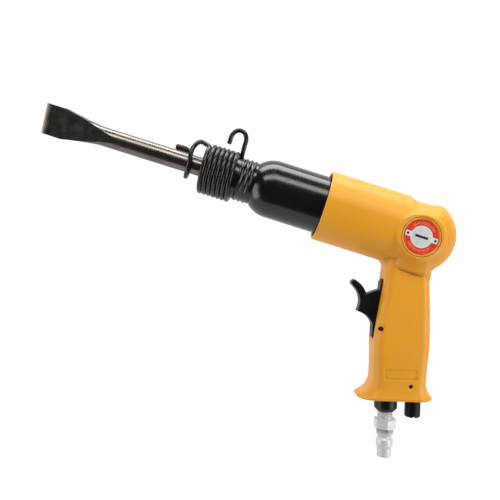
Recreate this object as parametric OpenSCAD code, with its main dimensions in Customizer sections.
// Pneumatic air hammer with a flat chisel, a screw-on spring retainer, a trigger and an air plug.
// Frame: +X to the rear of the tool, +Z up, origin on the air plug's axis at the plug's open end.
// Lengths "along the barrel" are measured rearward from the mouth of the handle housing.

/* [Barrel] */
// Angle that the barrel is raised above level, in degrees
barrel_angle = 15.5; // [14:0.5:17]
// Distance from the air plug's axis forward to the centre of the housing mouth
mouth_x = 48.5; // [47.5:0.1:49.5]
// Height of the centre of the housing mouth above the plug's end
mouth_z = 173.5; // [172.5:0.1:174.5]
// Outer radius of the barrel
barrel_r = 20.25; // [19.5:0.05:20.5]
// Radius of the bore that the piston runs in
piston_bore_r = 9.5; // [8.5:0.05:10]
// Radius of the hole that guides the chisel's shank, for a 0.401 inch shank
shank_bore_r = 5.15; // [4.9:0.01:5.3]
// Place of the barrel's front face along the barrel
nose_a = -78; // [-79:0.5:-77.5]
// Place of the barrel's rear face along the barrel
barrel_rear_a = 49; // [48.5:0.5:49]
// Length of the piston
piston_len = 40; // [30:1:42]
// Radial clearance of a running fit
run_gap = 0.05; // [0.02:0.01:0.09]

/* [Chisel] */
// Radius of the chisel's round bar
bar_r = 6.6; // [6:0.1:7]
// Width of the chisel's cutting edge
edge_w = 21.3; // [16:0.1:26]
// Place of the cutting edge along the barrel
edge_a = -204.5; // [-220:0.5:-200]
// Turn of the blade about the barrel's axis, in degrees
blade_turn = 12; // [0:1:45]
// Radius of the chisel's collar
collar_r = 11; // [9:0.1:11]

/* [Retainer spring] */
// Radius of the spring wire
wire_r = 1.6; // [1.2:0.05:1.6]
// Distance between the spring's coils
coil_pitch = 3.27; // [3.25:0.01:3.3]
// Radius from the barrel's axis to the middle of the wire
coil_r = 16.3; // [16.3:0.05:16.6]

/* [Housing] */
// Outer radius of the housing's sleeve
sleeve_r = 24.6; // [24.4:0.1:25.2]
// Inner radius of the exhaust mouth around the barrel
exhaust_r = 22.5; // [22:0.1:22.8]
// Radius of the rear dome
dome_r = 26.3; // [25.8:0.1:26.8]
// Half width of the grip
grip_half_w = 13.8; // [13.4:0.1:14.4]

/* [Trigger] */
// Width of the trigger
trigger_w = 9.4; // [8:0.1:9.4]
// Width of the slot that the trigger moves in
slot_w = 10; // [10:0.1:11]
// Height of the throttle valve's axis
throttle_z = 110; // [109.5:0.1:110.5]

/* [Air inlet] */
// Radius of the nose of the air plug
plug_nose_r = 4.9; // [4.7:0.05:5]
// Width across the flats of the air plug's hexagon
plug_hex_af = 14; // [13:0.5:15]
// Radius of the regulator's knob
knob_r = 5.4; // [5:0.1:6]

/* [Hidden] */
$fn = 72;

// Places along the barrel
mouth_a = -1;             // front rim of the housing
exhaust_end_a = 33;       // rear end of the exhaust annulus
chest_end_a = 57;         // face between the valve chest and the valve cap
cap_end_a = 65;           // rear face of the valve cap
chamber_a = 68;           // shoulder behind the clamp washer
saddle_a = 57.4;          // front edge of the saddle on top of the rear head
dome_a = 68.5;            // centre of the rear dome
piston_bore_a = -36;      // front end of the piston bore
shank_end_a = -34;        // struck end of the chisel's shank
collar_len = 8;
shoulder_a = -37;         // where the barrel reaches its full radius
thread_end_a = -50.5;     // rear end of the nose thread
valve_r = 17.45;          // radius of the valve chest and cap
valve_bore_r = 17.5;
shuttle_bore_r = 7;
air_chamber_r = 13;
passage_ring_r = 14.2;    // circle that the air passages and dowels lie on

// Grip and its inner parts
flange_z = 41.9;          // underside of the grip's foot
slot_x = -1.5;            // floor of the trigger slot
slot_z = [82.3, 123.6];
trigger_axis = [-7.6, 90.2];
trigger_pin_r = 1.6;
regulator_x = 18.9;
regulator_r = 5.6;
regulator_top_z = 66;
regulator_pin_at = [13.3, 52];
regulator_pin_r = 1.4;
pin_len = 20;
bushing_r = 6;
bushing_end_x = 12.5;
stem_r = 2;
spring_pocket_r = 4.6;
spring_pocket_x = 23.6;
inlet_chamber_z = 66;
cross_passage_z = 61;
bush_thread_r = 6.58;
bush_top_z = 54;
plug_thread_r = 5.38;
plug_top_z = 44;

// Badge seats on both sides of the rear head
badge_a = 65.5;
badge_v = -2.9;
badge_seat_y = 23.4;
badge_seat_r = 13.5;
badge_r = 11.6;
badge_t = 1.2;
rivet_offset = 9.4;
rivet_r = 0.6;

// Shallow panel on both sides of the grip, above the foot: middle [x, z], size and depth
panel_at = [6.4, 60.2];
panel_size = [22, 7];
panel_depth = 0.35;

// ---------- helpers ----------

// Places children in the barrel's own frame: x rearward, z square to the barrel and upward
module on_barrel() {
    translate([-mouth_x, 0, mouth_z]) rotate([0, barrel_angle, 0]) children();
}

// A solid turned about the barrel's axis, from points [radius, place along the barrel]
module turned(points) {
    rotate([0, 90, 0]) rotate_extrude() polygon(points);
}

// A round bar along the barrel's axis between two places
module bar_along(r, from_a, to_a) {
    translate([from_a, 0, 0]) rotate([0, 90, 0]) cylinder(r = r, h = to_a - from_a);
}

// A side outline [x, z] given a thickness across the tool
module slab(points, thickness) {
    rotate([90, 0, 0]) linear_extrude(height = thickness, center = true) polygon(points);
}

// A bar across the tool at [x, z]
module cross_bar(at, r, length) {
    translate([at[0], 0, at[1]]) rotate([90, 0, 0]) cylinder(r = r, h = length, center = true);
}

// A ring of round section about Z
module o_ring(ring_r, section_r) {
    rotate_extrude() translate([ring_r, 0]) circle(r = section_r, $fn = 32);
}

function quad_curve(p, c, q, n = 8) =
    [for (i = [0:n]) let (t = i / n) (1 - t) * (1 - t) * p + 2 * t * (1 - t) * c + t * t * q];
function arc(centre, r, from, to, n = 8) =
    [for (i = [0:n]) let (d = from + (to - from) * i / n) centre + r * [cos(d), sin(d)]];
function unit(v) = v / norm(v);

// Smooth curve through hand-set points, n steps between each pair
function through(p, n) = [
    for (i = [0:len(p) - 2], k = [0:n - 1])
        let (a = p[max(i - 1, 0)], b = p[i], c = p[i + 1], d = p[min(i + 2, len(p) - 1)], t = k / n)
        0.5 * (2 * b + (c - a) * t + (2 * a - 5 * b + 4 * c - d) * t * t
               + (3 * b - a - 3 * c + d) * t * t * t)
];

// A wire of round section swept along a path
module wire(path, r, sides) {
    n = len(path);
    along = [for (i = [0:n - 1]) unit(path[min(i + 1, n - 1)] - path[max(i - 1, 0)])];
    first = unit(cross(along[0], [0.3, 0.9, 0.1]));
    side = [for (i = 0, u = first; i < n;
                 i = i + 1, t = along[min(i, n - 1)], u = unit(u - (u * t) * t)) u];
    points = [for (i = [0:n - 1], k = [0:sides - 1])
        let (d = 360 * k / sides)
        path[i] + r * (cos(d) * side[i] + sin(d) * cross(along[i], side[i]))];
    walls = [for (i = [0:n - 2], k = [0:sides - 1])
        let (j = (k + 1) % sides)
        [i * sides + k, (i + 1) * sides + k, (i + 1) * sides + j, i * sides + j]];
    start_cap = [[for (k = [0:sides - 1]) k]];
    end_cap = [[for (k = [0:sides - 1]) n * sides - 1 - k]];
    polyhedron(points = points, faces = concat(start_cap, walls, end_cap), convexity = 8);
}

// ---------- handle housing ----------

// Sections of the grip from the foot up: [z, front x, rear x, half width, corner radius]
grip_sections = [
    [flange_z, -20.2, 29.4, grip_half_w + 1, 10.5],
    [43.2, -21.3, 30.4, grip_half_w + 1.8, 11],
    [45.4, -18.4, 28.7, grip_half_w + 1.4, 10.5],
    [48.5, -14.7, 26.8, grip_half_w + 0.8, 9],
    [53, -12.1, 25.6, grip_half_w + 0.3, 7.5],
    [60, -11.2, 25.5, grip_half_w, 6.5],
    [82, -11.4, 26.7, grip_half_w, 6.5],
    [138, -4.7, 25.1, grip_half_w, 6.5]];
corner_steps = 7;

// Outline of one section: a rectangle with round corners
function grip_ring(s) = [
    for (corner = [0:3], i = [0:corner_steps])
        let (d = corner * 90 + i * 90 / corner_steps,
             x = (corner == 0 || corner == 3) ? s[2] - s[4] : s[1] + s[4],
             y = (corner < 2 ? 1 : -1) * (s[3] - s[4]))
        [x + s[4] * cos(d), y + s[4] * sin(d), s[0]]];

module grip() {
    per_ring = 4 * (corner_steps + 1);
    last = len(grip_sections) - 1;
    points = [for (s = grip_sections) each grip_ring(s)];
    walls = [for (i = [0:last - 1], k = [0:per_ring - 1])
        let (j = (k + 1) % per_ring)
        [i * per_ring + k, (i + 1) * per_ring + k, (i + 1) * per_ring + j, i * per_ring + j]];
    foot = [[for (k = [0:per_ring - 1]) k]];
    top = [[for (k = [per_ring - 1:-1:0]) last * per_ring + k]];
    polyhedron(points = points, faces = concat(foot, walls, top), convexity = 4);
}

// Round sleeve and rear dome, with a shallow saddle cut in the top between them
module head() {
    difference() {
        union() {
            bar_along(sleeve_r, mouth_a, 64);
            translate([dome_a, 0, 0]) sphere(r = dome_r);
        }
        intersection() {
            turned([[30, saddle_a - 0.4], [sleeve_r + 0.2, saddle_a - 0.2], [22.9, saddle_a + 1.4],
                    [22.8, 70], [24.3, 76.8], [30, 78.5]]);
            translate([50, -40, 13]) cube([40, 80, 40]);
        }
    }
}

// Sloping web between the round head and the narrower grip
web_top = [21.5, -12];    // half width and height of the web's upper edge, inside the head
web_foot = [13.8, -27.5]; // half width and height of its lower edge, inside the grip
module web() {
    translate([53, 0, 0]) rotate([90, 0, 90]) linear_extrude(height = 27)
        polygon([[-web_top[0], web_top[1]], [-web_foot[0], web_foot[1]], web_foot, web_top]);
}

// Round fillet between the sleeve's underside and the front of the grip
module neck_fillet() {
    fillet_r = 5;
    centre = [53.7 - fillet_r, 0.6 - sleeve_r - fillet_r];
    slab(concat(arc(centre, fillet_r, 90, 0), [[57, centre[1]], [57, -20], [centre[0], -20]]), 13);
}

module badge_place(side) {
    on_barrel() translate([badge_a, side * badge_seat_y, badge_v])
        rotate([side * -90, 0, 0]) children();
}

// The two rivet places of a badge, seen from its seat
module rivet_places() {
    for (x = [-rivet_offset, rivet_offset]) translate([x, 0, 0]) children();
}

module handle_housing() color("goldenrod") difference() {
    union() {
        on_barrel() {
            head();
            web();
            neck_fillet();
        }
        grip();
        for (side = [-1, 1])
            badge_place(side) translate([0, 0, -8]) cylinder(r = badge_seat_r + 1.7, h = 8.4);
    }
    barrel_side_cuts();
    grip_cuts();
    for (side = [-1, 1]) badge_place(side) {
        cylinder(r = badge_seat_r, h = 10);
        rivet_places() translate([0, 0, -2.2]) cylinder(r = rivet_r + 0.01, h = 4, $fn = 24);
    }
}

// Exhaust mouth, barrel seat, valve chamber, air chamber and the passage down to the throttle
module barrel_side_cuts() on_barrel() {
    bar_along(exhaust_r, mouth_a - 1, exhaust_end_a);
    bar_along(barrel_r + 0.02, exhaust_end_a - 1, barrel_rear_a);
    bar_along(valve_bore_r, barrel_rear_a - 1, chamber_a);
    bar_along(air_chamber_r, chamber_a - 1, 75);
    translate([75, 0, 0]) sphere(r = air_chamber_r);
    translate([72, 0, -45]) cylinder(r = 3, h = 38);
}

module grip_cuts() {
    translate([slot_x - 30, -slot_w / 2, slot_z[0]]) cube([30, slot_w, slot_z[1] - slot_z[0]]);
    cross_bar(trigger_axis, trigger_pin_r + 0.02, 40);
    cross_bar(regulator_pin_at, regulator_pin_r + 0.02, 40);
    translate([slot_x - 1, 0, throttle_z]) rotate([0, 90, 0]) {
        cylinder(r = bushing_r + 0.02, h = bushing_end_x - slot_x + 1);
        cylinder(r = spring_pocket_r, h = spring_pocket_x - slot_x + 1);
    }
    translate([regulator_x, 0, flange_z - 5])
        cylinder(r = regulator_r + run_gap, h = regulator_top_z + 1 - flange_z + 5);
    translate([regulator_x, 0, regulator_top_z]) cylinder(r = 3.2, h = throttle_z - regulator_top_z);
    translate([0, 0, flange_z - 5]) cylinder(r = bush_thread_r + 0.02, h = bush_top_z + 1 - flange_z + 5);
    translate([0, 0, bush_top_z]) cylinder(r = 5, h = inlet_chamber_z - bush_top_z);
    translate([0, 0, cross_passage_z]) rotate([0, 90, 0]) cylinder(r = 2.5, h = regulator_x);
    for (side = [-1, 1])
        translate([panel_at[0], side * (grip_half_w + 0.5 - panel_depth), panel_at[1]])
            cube([panel_size[0], 1, panel_size[1]], center = true);
}

// ---------- barrel, piston and chisel ----------

ridge_r = 15.3;
root_r = 14.5;
ridge_pitch = 3.3;
ridge_a = [for (i = [0:3]) -61.2 + i * ridge_pitch];

module barrel() color("darkslategray") on_barrel() difference() {
    union() {
        turned(concat(
            [[0, nose_a], [root_r - 1, nose_a], [root_r, nose_a + 1], [root_r, thread_end_a]],
            [for (d = [42:-7:0]) [barrel_r - 20 + 20 * cos(d), shoulder_a - 20 * sin(d)]],
            [[barrel_r, barrel_rear_a], [0, barrel_rear_a]]));
        for (a = ridge_a)
            turned([[root_r - 1, a - 1.3], [root_r, a - 1.3], [ridge_r, a - 0.45],
                    [ridge_r, a + 0.45], [root_r, a + 1.3], [root_r - 1, a + 1.3]]);
    }
    bar_along(shank_bore_r, nose_a - 1, piston_bore_a + 1);
    bar_along(piston_bore_r, piston_bore_a, barrel_rear_a + 1);
    // long air passages to the front of the piston bore
    for (d = [45:90:315])
        rotate([d, 0, 0]) translate([-30, 0, passage_ring_r]) rotate([0, 90, 0])
            cylinder(r = 1.5, h = 80, $fn = 24);
    // exhaust ports into the annulus
    for (d = [0:90:270])
        rotate([d, 0, 0]) translate([18, 0, 0]) cylinder(r = 2, h = 30, $fn = 24);
    dowel_holes(1.52);
}

// The two dowel places, seen from the barrel's frame
module dowel_holes(r) {
    for (side = [-1, 1])
        translate([44, side * passage_ring_r, 0]) rotate([0, 90, 0]) cylinder(r = r, h = 18, $fn = 24);
}

piston_rest_a = barrel_rear_a - 1 - piston_len;
module piston() color("silver") on_barrel()
    turned([[0, piston_rest_a], [6, piston_rest_a], [7, piston_rest_a + 1.5],
            [piston_bore_r - run_gap, piston_rest_a + 4],
            [piston_bore_r - run_gap, piston_rest_a + 16], [8.9, piston_rest_a + 17],
            [8.9, piston_rest_a + 23], [piston_bore_r - run_gap, piston_rest_a + 24],
            [piston_bore_r - run_gap, barrel_rear_a - 2], [8.6, barrel_rear_a - 1],
            [0, barrel_rear_a - 1]]);

module chisel() color("dimgray") on_barrel() rotate([blade_turn, 0, 0]) {
    collar_a = nose_a - collar_len;
    bar_along(shank_bore_r - run_gap, nose_a - 1, shank_end_a - 1);
    turned([[0, shank_end_a - 1], [shank_bore_r - run_gap, shank_end_a - 1],
            [4.2, shank_end_a], [0, shank_end_a]]);
    turned([[0, nose_a], [collar_r - 1, nose_a], [collar_r, nose_a - 1], [collar_r, collar_a + 1.5],
            [collar_r - 1, collar_a + 0.5], [bar_r, collar_a], [0, collar_a]]);
    intersection() {
        union() {
            bar_along(bar_r, edge_a + 20, collar_a + 1);
            blade_outline();
        }
        blade_taper();
    }
}

// Blade seen square to its flats
flare_a = [-189, -162.5];
module blade_outline() {
    upper = quad_curve([flare_a[1], bar_r], [-181, 8.6], [flare_a[0], edge_w / 2], 6);
    lower = [for (p = upper) [p[0], -p[1]]];
    slab(concat([[flare_a[1] + 2, bar_r]], upper, [[edge_a, edge_w / 2], [edge_a, -edge_w / 2]],
                [for (i = [len(lower) - 1:-1:0]) lower[i]], [[flare_a[1] + 2, -bar_r]]), 16);
}

// Blade seen along its edge: the flats run down to a bevelled cutting edge
module blade_taper() {
    half = [[-80, 8], [-140, 8], [-150, bar_r + 0.05], [-189, 2.3], [edge_a + 3.5, 1.3], [edge_a, 0.4]];
    linear_extrude(height = 40, center = true)
        polygon(concat(half, [for (i = [len(half) - 1:-1:0]) [half[i][0], -half[i][1]]]));
}

// ---------- retainer spring ----------

coil_start_a = -64.4;
coil_from = 22;            // degrees from the top where the rear hook runs into the first coil
coil_to = 2490;            // degrees from the top where the last coil runs into the front hook
// Points are [along the barrel, across the tool, up]
rear_hook = [[-75.7, -0.3, 21.4], [-75.7, -0.3, 24.5], [-75.5, -0.3, 27.8], [-73.6, -0.3, 31.4],
             [-70.3, -0.3, 32.7], [-67, -0.3, 31.4], [-65.1, -0.3, 27.8], [-64.9, -0.3, 23.5],
             [-64.8, -0.1, 19.8], [-64.7, 1.2, 17.4], [-64.6, 3.6, 16.3]];
front_hook = [[-88.6, -6.6, 15], [-90.4, -4.9, 15.6], [-92.4, -3.9, 16.3], [-94.7, -4, 16.2],
              [-96.6, -5.6, 14], [-97.7, -7.8, 10.4], [-97.9, -8.9, 7], [-97.5, -9.2, 3.4],
              [-97, -9.1, 0], [-96.9, -7.6, -4.9], [-97.4, -4.4, -8.2], [-97.9, 0, -9.5],
              [-98.2, 4.6, -8.2], [-98.4, 8.2, -4.6], [-98.6, 9.4, 0], [-99.2, 9.2, 4.8],
              [-101, 8.6, 8.2], [-104.2, 8, 9.6], [-108.5, 7.4, 9.7], [-112, 6.9, 9.3]];

function coil_point(d) =
    [coil_start_a - coil_pitch * d / 360, coil_r * sin(d), coil_r * cos(d)];

module retainer_spring() color("dimgray") on_barrel() {
    steps = 188;
    coil = [for (i = [0:steps]) coil_point(coil_from + (coil_to - coil_from) * i / steps)];
    before = through(concat(rear_hook, [coil[0], coil[1]]), 3);
    after = through(concat([coil[steps]], front_hook), 3);
    wire(concat([for (i = [0:len(before) - 4]) before[i]], coil,
                [for (i = [1:len(after) - 1]) after[i]], [front_hook[len(front_hook) - 1]]),
         wire_r, 8);
}

// ---------- valve set behind the barrel ----------

module valve_ports() {
    for (d = [45:90:315])
        rotate([d, 0, 0]) translate([40, 0, passage_ring_r]) rotate([0, 90, 0])
            cylinder(r = 1.5, h = 30, $fn = 24);
    dowel_holes(1.52);
}

module valve_chest() color("gray") on_barrel() difference() {
    bar_along(valve_r, barrel_rear_a, chest_end_a);
    bar_along(4.5, barrel_rear_a - 1, chest_end_a);
    bar_along(shuttle_bore_r, barrel_rear_a + 1.5, chest_end_a + 1);
    valve_ports();
}

module shuttle_valve() color("lightgray") on_barrel()
    turned([[1.6, 52], [shuttle_bore_r - run_gap, 52], [shuttle_bore_r - run_gap, 56.8],
            [4.5, 56.8], [4.5, 53.5], [1.6, 53.5]]);

module valve_cap() color("gray") on_barrel() difference() {
    bar_along(valve_r, chest_end_a, cap_end_a);
    for (d = [0:60:300])
        rotate([d, 0, 0]) translate([chest_end_a - 1, 0, 5]) rotate([0, 90, 0])
            cylinder(r = 1.4, h = 10, $fn = 24);
    valve_ports();
}

module valve_dowels() color("silver") on_barrel() dowel_holes(1.5);

module clamp_washer() color("slategray") on_barrel()
    turned([[13.4, cap_end_a], [valve_r, cap_end_a + 1.2], [valve_r, chamber_a],
            [13.4, cap_end_a + 1.8]]);

// ---------- trigger and throttle ----------

module trigger() color("black") difference() {
    slab(concat(
        // finger face and the curve below it
        quad_curve([-27.5, 119.8], [-18, 111.5], [-22.7, 101.3]),
        quad_curve([-22.5, 101], [-13.4, 98.2], [-11.8, 91.5]),
        // plate that closes the slot, with the nub that presses the throttle's stem
        [[-12, 90.5], [-12, 83.6], [-11.1, 82.7], [-7, 82.7], [-4.6, 88], [-4.6, 92.5], [-5.6, 96],
         [-5.6, 107.5], [-5.1, 109], [-5.1, 111], [-5.6, 112.5], [-6.4, 122.4], [-7.1, 122.4], [-7.5, 116.8]],
        // ledge and the back of the guard prong
        quad_curve([-16.8, 113.3], [-18.3, 119], [-25.2, 123]),
        [[-27, 122]]), trigger_w);
    cross_bar(trigger_axis, trigger_pin_r + run_gap, 40);
}

module trigger_pin() color("silver") cross_bar(trigger_axis, trigger_pin_r, pin_len);

// Places children along +X on the throttle's axis
module on_throttle() {
    translate([0, 0, throttle_z]) rotate([0, 90, 0]) children();
}

module throttle_bushing() color("goldenrod") on_throttle() difference() {
    translate([0, 0, slot_x]) cylinder(r = bushing_r, h = bushing_end_x - slot_x);
    translate([0, 0, slot_x - 1]) cylinder(r = stem_r + run_gap, h = 20);
    translate([0, 0, 4]) cylinder(r = 4.2, h = 7.5);
    translate([0, 0, 11]) cylinder(r = 3, h = 5);
    // groove for the outer seal
    translate([0, 0, 1]) difference() {
        cylinder(r = bushing_r + 1, h = 1.4);
        cylinder(r = bushing_r - 1.1, h = 1.4);
    }
    // port up to the air chamber, clear of the stem's guide
    translate([0, 0, 8.9]) rotate([0, -90, 0]) cylinder(r = 2.2, h = 10, $fn = 32);
}

module throttle_bushing_seal() color("black") on_throttle()
    translate([0, 0, 1.7]) o_ring(bushing_r - 0.55, 0.54);

module throttle_valve() color("silver") on_throttle() rotate_extrude()
    polygon([[0, -4.9], [1.4, -4.9], [stem_r, -4.3], [stem_r, 13.6], [4, 13.6], [4, 15.6],
             [stem_r, 15.6], [stem_r, 17.6], [1.5, 18.1], [0, 18.1]]);

module throttle_seal() color("black") on_throttle() difference() {
    translate([0, 0, 12.55]) cylinder(r = 3.8, h = 1.05);
    cylinder(r = stem_r + 0.01, h = 20);
}

module throttle_spring() color("silver") on_throttle() {
    turns = 5;
    spring_r = 3.3;
    first_x = 16.1;
    last_x = spring_pocket_x - 0.5;
    steps = turns * 16;
    wire([for (i = [0:steps]) let (d = 360 * turns * i / steps)
          [spring_r * cos(d), spring_r * sin(d), first_x + (last_x - first_x) * i / steps]], 0.4, 6);
}

// ---------- regulator ----------

regulator_neck_z = 43.5;
regulator_bottom_z = 28.3;
regulator_seal_z = 57.2;
pin_groove_r = 4.1;
seal_groove_r = 4.2;

module regulator() color("black") translate([regulator_x, 0, 0]) difference() {
    rotate_extrude() polygon(concat(
        [[0, regulator_bottom_z]], arc([knob_r - 1.2, regulator_bottom_z + 1.2], 1.2, -90, 0, 4),
        [[knob_r, regulator_neck_z], [regulator_r, regulator_neck_z + 0.5],
         [regulator_r, regulator_pin_at[1] - 1.6], [pin_groove_r, regulator_pin_at[1] - 1.6],
         [pin_groove_r, regulator_pin_at[1] + 1.6], [regulator_r, regulator_pin_at[1] + 1.6],
         [regulator_r, regulator_seal_z - 0.75], [seal_groove_r, regulator_seal_z - 0.75],
         [seal_groove_r, regulator_seal_z + 0.75], [regulator_r, regulator_seal_z + 0.75],
         [regulator_r, regulator_top_z], [4, regulator_top_z],
         [4, cross_passage_z - 3], [0, cross_passage_z - 3]]));
    // side port that turns across the cross passage
    translate([0, 0, cross_passage_z]) rotate([0, -90, 0]) cylinder(r = 2.3, h = 10, $fn = 32);
    // screwdriver slot in the knob's end
    translate([-0.6, -8, regulator_bottom_z - 1]) cube([1.2, 16, 2.2]);
}

module regulator_seal() color("black")
    translate([regulator_x, 0, regulator_seal_z]) o_ring(4.9, 0.69);

module regulator_pin() color("silver") cross_bar(regulator_pin_at, regulator_pin_r, pin_len);

// ---------- air inlet ----------

bush_r = 7.9;
bush_bottom_z = 32;
bush_chamfer = 2.2;
bush_step_z = 45;
screen_r = 4.38;

module inlet_bush() color("darkslategray") difference() {
    rotate_extrude() polygon([
        [plug_thread_r + 0.02, bush_bottom_z], [bush_r - bush_chamfer + 0.3, bush_bottom_z],
        [bush_r, bush_bottom_z + bush_chamfer], [bush_r, flange_z], [bush_thread_r, flange_z],
        [bush_thread_r, bush_top_z], [screen_r + 0.02, bush_top_z], [screen_r + 0.02, bush_step_z],
        [plug_thread_r + 0.02, bush_step_z]]);
    // groove for the seal in the shoulder
    translate([0, 0, flange_z - 0.9]) difference() {
        cylinder(r = 7.7, h = 2);
        cylinder(r = bush_thread_r + 0.1, h = 2);
    }
}

module inlet_bush_seal() color("black") translate([0, 0, flange_z - 0.45]) o_ring(7.19, 0.44);

module inlet_screen() color("silver") difference() {
    rotate_extrude() polygon([[screen_r - 0.6, 46], [screen_r, 46], [screen_r, 60], [3.4, 62],
                              [0, 62], [0, 61.4], [3.1, 61.4], [screen_r - 0.6, 59.6]]);
    for (z = [55.6, 58], d = [0:60:300])
        translate([0, 0, z]) rotate([0, 90, d + z * 20]) cylinder(r = 0.7, h = 10, $fn = 16);
}

module air_plug() color("lightgray") difference() {
    union() {
        rotate_extrude() polygon([[0, 0], [plug_nose_r, 0], [plug_nose_r, 6.2], [5.85, 8.2],
            [5.85, 12.4], [4.8, 13.6], [4.8, 14.5], [5.6, 15.4], [6.2, 20.2], [0, 20.2]]);
        translate([0, 0, 20]) cylinder(r = plug_hex_af / 2 / cos(30), h = 6.4, $fn = 6);
        rotate_extrude() polygon([[0, 26], [5, 26], [5, 27.6], [plug_thread_r, 28.2],
            [plug_thread_r, plug_top_z - 1], [4.6, plug_top_z], [0, plug_top_z]]);
    }
    translate([0, 0, -1]) cylinder(r = 2.8, h = plug_top_z + 2);
}

// ---------- badges ----------

module badge(side) {
    badge_place(side) difference() {
        union() {
            cylinder(r = badge_r, h = badge_t - 0.3);
            difference() {
                cylinder(r = badge_r, h = badge_t);
                translate([0, 0, badge_t - 0.3]) cylinder(r = badge_r - 0.8, h = 1);
            }
        }
        rivet_places() translate([0, 0, -1]) cylinder(r = rivet_r + 0.01, h = 4, $fn = 24);
    }
}

module badge_left() color("firebrick") badge(-1);
module badge_right() color("firebrick") badge(1);

module badge_rivets() color("black")
    for (side = [-1, 1])
        badge_place(side) rivet_places() rotate_extrude($fn = 24)
            polygon([[0, -2.2], [rivet_r, -2.2], [rivet_r, badge_t - 0.3], [0.9, badge_t - 0.3],
                     [0.7, badge_t], [0, badge_t + 0.1]]);

handle_housing();
barrel();
piston();
chisel();
retainer_spring();
valve_chest();
shuttle_valve();
valve_cap();
valve_dowels();
clamp_washer();
trigger();
trigger_pin();
throttle_bushing();
throttle_bushing_seal();
throttle_valve();
throttle_seal();
throttle_spring();
regulator();
regulator_seal();
regulator_pin();
inlet_bush();
inlet_bush_seal();
inlet_screen();
air_plug();
badge_left();
badge_right();
badge_rivets();
